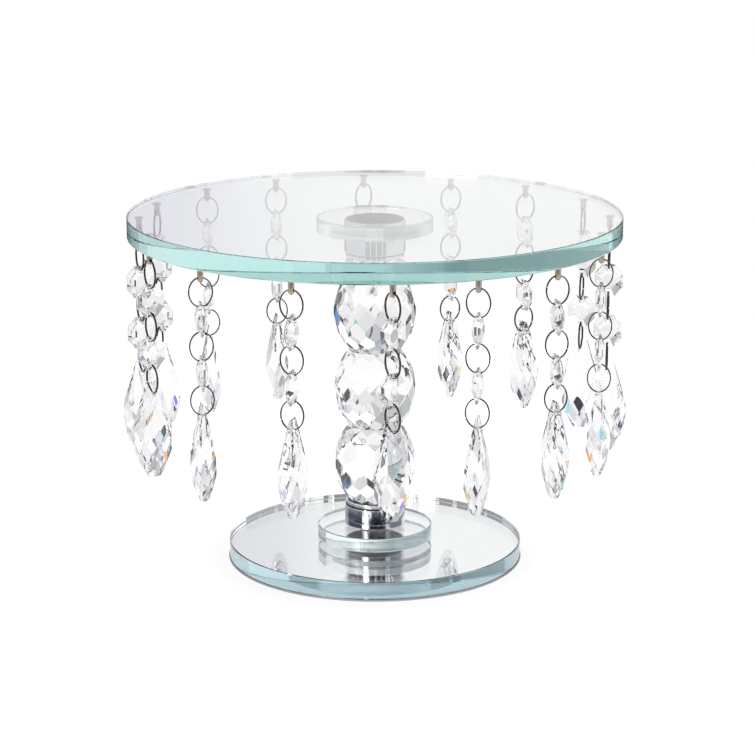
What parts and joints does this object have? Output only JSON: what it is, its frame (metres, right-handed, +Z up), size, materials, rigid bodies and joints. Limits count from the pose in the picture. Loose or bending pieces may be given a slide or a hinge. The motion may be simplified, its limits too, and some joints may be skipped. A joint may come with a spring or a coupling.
{
  "type": "cake stand",
  "caption": "Round glass cake stand on a stack of faceted crystal balls over a round mirror base, with crystal bead strands hanging from pins under the plate's rim.",
  "frame": {"origin": "centre of the flat underside of the base, on the stand's axis", "axes": "+Z up out of the plate's top face; -Y is the front and +X the right-hand side seen from there"},
  "size_m": [0.2626, 0.259, 0.184],
  "materials": {
    "plate_glass": "polished clear float glass, green-blue at its ground edge",
    "hub_glass": "polished clear glass disc",
    "ball_crystal": "machine-cut clear crystal with sharp polished facets",
    "collar_chrome": "polished chrome, satin on its end face",
    "base_mirror": "clear float glass silvered underneath",
    "mirror_paint": "matt grey backing film",
    "pin_nickel": "warm nickel plate, lightly brushed",
    "ring_steel": "bright dark-grey flat steel wire",
    "bead_crystal": "machine-cut clear octagon beads, linked by bright dark-grey steel rings",
    "drop_crystal": "machine-cut clear almond drops with sharp polished facets"
  },
  "bodies": {
    "stand": {"cake_plate": "plate_glass", "upper_hub_disc": "hub_glass", "upper_collar": "collar_chrome", "crystal_ball_upper": "ball_crystal", "crystal_ball_middle": "ball_crystal", "crystal_ball_lower": "ball_crystal", "lower_collar": "collar_chrome", "lower_hub_disc": "hub_glass", "mirror_base": "base_mirror", "mirror_backing": "mirror_paint", "strand_01_pin": "pin_nickel", "strand_02_pin": "pin_nickel", "strand_03_pin": "pin_nickel", "strand_04_pin": "pin_nickel", "strand_05_pin": "pin_nickel", "strand_06_pin": "pin_nickel", "strand_07_pin": "pin_nickel", "strand_08_pin": "pin_nickel", "strand_09_pin": "pin_nickel", "strand_10_pin": "pin_nickel", "strand_11_pin": "pin_nickel", "strand_12_pin": "pin_nickel", "strand_13_pin": "pin_nickel", "strand_14_pin": "pin_nickel", "strand_15_pin": "pin_nickel", "strand_16_pin": "pin_nickel"},
    "strand_01_chain": {"strand_01_chain": "bead_crystal"},
    "strand_01_drop": {"strand_01_drop": "drop_crystal"},
    "strand_02_chain": {"strand_02_chain": "bead_crystal"},
    "strand_02_drop": {"strand_02_drop": "drop_crystal"},
    "strand_03_chain": {"strand_03_chain": "bead_crystal"},
    "strand_03_drop": {"strand_03_drop": "drop_crystal"},
    "strand_04_chain": {"strand_04_chain": "bead_crystal"},
    "strand_04_drop": {"strand_04_drop": "drop_crystal"},
    "strand_05_chain": {"strand_05_chain": "bead_crystal"},
    "strand_05_drop": {"strand_05_drop": "drop_crystal"},
    "strand_06_chain": {"strand_06_chain": "bead_crystal"},
    "strand_06_drop": {"strand_06_drop": "drop_crystal"},
    "strand_07_chain": {"strand_07_chain": "bead_crystal"},
    "strand_07_drop": {"strand_07_drop": "drop_crystal"},
    "strand_08_chain": {"strand_08_chain": "bead_crystal"},
    "strand_08_drop": {"strand_08_drop": "drop_crystal"},
    "strand_09_chain": {"strand_09_chain": "bead_crystal"},
    "strand_09_drop": {"strand_09_drop": "drop_crystal"},
    "strand_10_chain": {"strand_10_chain": "bead_crystal"},
    "strand_10_drop": {"strand_10_drop": "drop_crystal"},
    "strand_11_chain": {"strand_11_chain": "bead_crystal"},
    "strand_11_drop": {"strand_11_drop": "drop_crystal"},
    "strand_12_chain": {"strand_12_chain": "bead_crystal"},
    "strand_12_drop": {"strand_12_drop": "drop_crystal"},
    "strand_13_chain": {"strand_13_chain": "bead_crystal"},
    "strand_13_drop": {"strand_13_drop": "drop_crystal"},
    "strand_14_chain": {"strand_14_chain": "bead_crystal"},
    "strand_14_drop": {"strand_14_drop": "drop_crystal"},
    "strand_15_chain": {"strand_15_chain": "bead_crystal"},
    "strand_15_drop": {"strand_15_drop": "drop_crystal"},
    "strand_16_chain": {"strand_16_chain": "bead_crystal"},
    "strand_16_drop": {"strand_16_drop": "drop_crystal"}
  },
  "joints": [
    {"name": "strand_01_swing", "type": "hinge", "parent": "stand", "child": "strand_01_chain", "pos_m": [0.00844, -0.12071, 0.1686], "axis": [-0.6018, 0.7986, 0], "range_deg": [-25, 35]},
    {"name": "strand_01_drop_tilt", "type": "hinge", "parent": "strand_01_chain", "child": "strand_01_drop", "pos_m": [0.00844, -0.12071, 0.0999], "axis": [-0.6018, 0.7986, 0], "range_deg": [-45, 45]},
    {"name": "strand_02_swing", "type": "hinge", "parent": "stand", "child": "strand_02_chain", "pos_m": [0.04902, -0.11063, 0.1686], "axis": [-0.9781, 0.2079, 0], "range_deg": [-30, 60]},
    {"name": "strand_02_drop_tilt", "type": "hinge", "parent": "strand_02_chain", "child": "strand_02_drop", "pos_m": [0.04902, -0.11063, 0.0999], "axis": [-0.9781, 0.2079, 0], "range_deg": [-45, 45]},
    {"name": "strand_03_swing", "type": "hinge", "parent": "stand", "child": "strand_03_chain", "pos_m": [0.08849, -0.08252, 0.1686], "axis": [-0.9613, -0.2756, 0], "range_deg": [-30, 40]},
    {"name": "strand_03_drop_tilt", "type": "hinge", "parent": "strand_03_chain", "child": "strand_03_drop", "pos_m": [0.08849, -0.08252, 0.0999], "axis": [-0.9613, -0.2756, 0], "range_deg": [-45, 45]},
    {"name": "strand_04_swing", "type": "hinge", "parent": "stand", "child": "strand_04_chain", "pos_m": [0.11296, -0.04336, 0.1686], "axis": [-0.9903, 0.1392, 0], "range_deg": [-10, 35]},
    {"name": "strand_04_drop_tilt", "type": "hinge", "parent": "strand_04_chain", "child": "strand_04_drop", "pos_m": [0.11296, -0.04336, 0.0999], "axis": [-0.9903, 0.1392, 0], "range_deg": [-45, 45]},
    {"name": "strand_05_swing", "type": "hinge", "parent": "stand", "child": "strand_05_chain", "pos_m": [0.12098, 0.00211, 0.1686], "axis": [-0.1392, -0.9903, 0], "range_deg": [-30, 60]},
    {"name": "strand_05_drop_tilt", "type": "hinge", "parent": "strand_05_chain", "child": "strand_05_drop", "pos_m": [0.12098, 0.00211, 0.0999], "axis": [-0.1392, -0.9903, 0], "range_deg": [-45, 45]},
    {"name": "strand_06_swing", "type": "hinge", "parent": "stand", "child": "strand_06_chain", "pos_m": [0.11096, 0.04825, 0.1686], "axis": [-0.2419, -0.9703, 0], "range_deg": [-10, 60]},
    {"name": "strand_06_drop_tilt", "type": "hinge", "parent": "strand_06_chain", "child": "strand_06_drop", "pos_m": [0.11096, 0.04825, 0.0999], "axis": [-0.2419, -0.9703, 0], "range_deg": [-10, 45]},
    {"name": "strand_07_swing", "type": "hinge", "parent": "stand", "child": "strand_07_chain", "pos_m": [0.08252, 0.08849, 0.1686], "axis": [0.866, 0.5, 0], "range_deg": [-10, 60]},
    {"name": "strand_07_drop_tilt", "type": "hinge", "parent": "strand_07_chain", "child": "strand_07_drop", "pos_m": [0.08252, 0.08849, 0.0999], "axis": [0.866, 0.5, 0], "range_deg": [-10, 45]},
    {"name": "strand_08_swing", "type": "hinge", "parent": "stand", "child": "strand_08_chain", "pos_m": [0.04238, 0.11334, 0.1686], "axis": [0.9397, 0.342, 0], "range_deg": [-20, 60]},
    {"name": "strand_08_drop_tilt", "type": "hinge", "parent": "strand_08_chain", "child": "strand_08_drop", "pos_m": [0.04238, 0.11334, 0.0999], "axis": [0.9397, 0.342, 0], "range_deg": [-20, 45]},
    {"name": "strand_09_swing", "type": "hinge", "parent": "stand", "child": "strand_09_chain", "pos_m": [-0.00633, 0.12083, 0.1686], "axis": [0.7547, 0.6561, 0], "range_deg": [-25, 35]},
    {"name": "strand_09_drop_tilt", "type": "hinge", "parent": "strand_09_chain", "child": "strand_09_drop", "pos_m": [-0.00633, 0.12083, 0.0999], "axis": [0.7547, 0.6561, 0], "range_deg": [-45, 45]},
    {"name": "strand_10_swing", "type": "hinge", "parent": "stand", "child": "strand_10_chain", "pos_m": [-0.05493, 0.10781, 0.1686], "axis": [0.9781, 0.2079, 0], "range_deg": [-30, 40]},
    {"name": "strand_10_drop_tilt", "type": "hinge", "parent": "strand_10_chain", "child": "strand_10_drop", "pos_m": [-0.05493, 0.10781, 0.0999], "axis": [0.9781, 0.2079, 0], "range_deg": [-45, 45]},
    {"name": "strand_11_swing", "type": "hinge", "parent": "stand", "child": "strand_11_chain", "pos_m": [-0.09132, 0.07938, 0.1686], "axis": [0.9945, 0.1045, 0], "range_deg": [-15, 60]},
    {"name": "strand_11_drop_tilt", "type": "hinge", "parent": "strand_11_chain", "child": "strand_11_drop", "pos_m": [-0.09132, 0.07938, 0.0999], "axis": [0.9945, 0.1045, 0], "range_deg": [-20, 45]},
    {"name": "strand_12_swing", "type": "hinge", "parent": "stand", "child": "strand_12_chain", "pos_m": [-0.11508, 0.03739, 0.1686], "axis": [0.2079, 0.9781, 0], "range_deg": [-20, 60]},
    {"name": "strand_12_drop_tilt", "type": "hinge", "parent": "strand_12_chain", "child": "strand_12_drop", "pos_m": [-0.11508, 0.03739, 0.0999], "axis": [0.2079, 0.9781, 0], "range_deg": [-20, 45]},
    {"name": "strand_13_swing", "type": "hinge", "parent": "stand", "child": "strand_13_chain", "pos_m": [-0.12098, -0.00211, 0.1686], "axis": [-0.4067, 0.9135, 0], "range_deg": [-20, 60]},
    {"name": "strand_13_drop_tilt", "type": "hinge", "parent": "strand_13_chain", "child": "strand_13_drop", "pos_m": [-0.12098, -0.00211, 0.0999], "axis": [-0.4067, 0.9135, 0], "range_deg": [-20, 45]},
    {"name": "strand_14_swing", "type": "hinge", "parent": "stand", "child": "strand_14_chain", "pos_m": [-0.11203, -0.04572, 0.1686], "axis": [-0.5299, 0.848, 0], "range_deg": [-30, 60]},
    {"name": "strand_14_drop_tilt", "type": "hinge", "parent": "strand_14_chain", "child": "strand_14_drop", "pos_m": [-0.11203, -0.04572, 0.0999], "axis": [-0.5299, 0.848, 0], "range_deg": [-45, 45]},
    {"name": "strand_15_swing", "type": "hinge", "parent": "stand", "child": "strand_15_chain", "pos_m": [-0.08405, -0.08704, 0.1686], "axis": [-0.9703, -0.2419, 0], "range_deg": [-30, 30]},
    {"name": "strand_15_drop_tilt", "type": "hinge", "parent": "strand_15_chain", "child": "strand_15_drop", "pos_m": [-0.08405, -0.08704, 0.0999], "axis": [-0.9703, -0.2419, 0], "range_deg": [-45, 45]},
    {"name": "strand_16_swing", "type": "hinge", "parent": "stand", "child": "strand_16_chain", "pos_m": [-0.03939, -0.11441, 0.1686], "axis": [-0.9511, 0.309, 0], "range_deg": [-30, 45]},
    {"name": "strand_16_drop_tilt", "type": "hinge", "parent": "strand_16_chain", "child": "strand_16_drop", "pos_m": [-0.03939, -0.11441, 0.0999], "axis": [-0.9511, 0.309, 0], "range_deg": [-45, 45]}
  ]
}
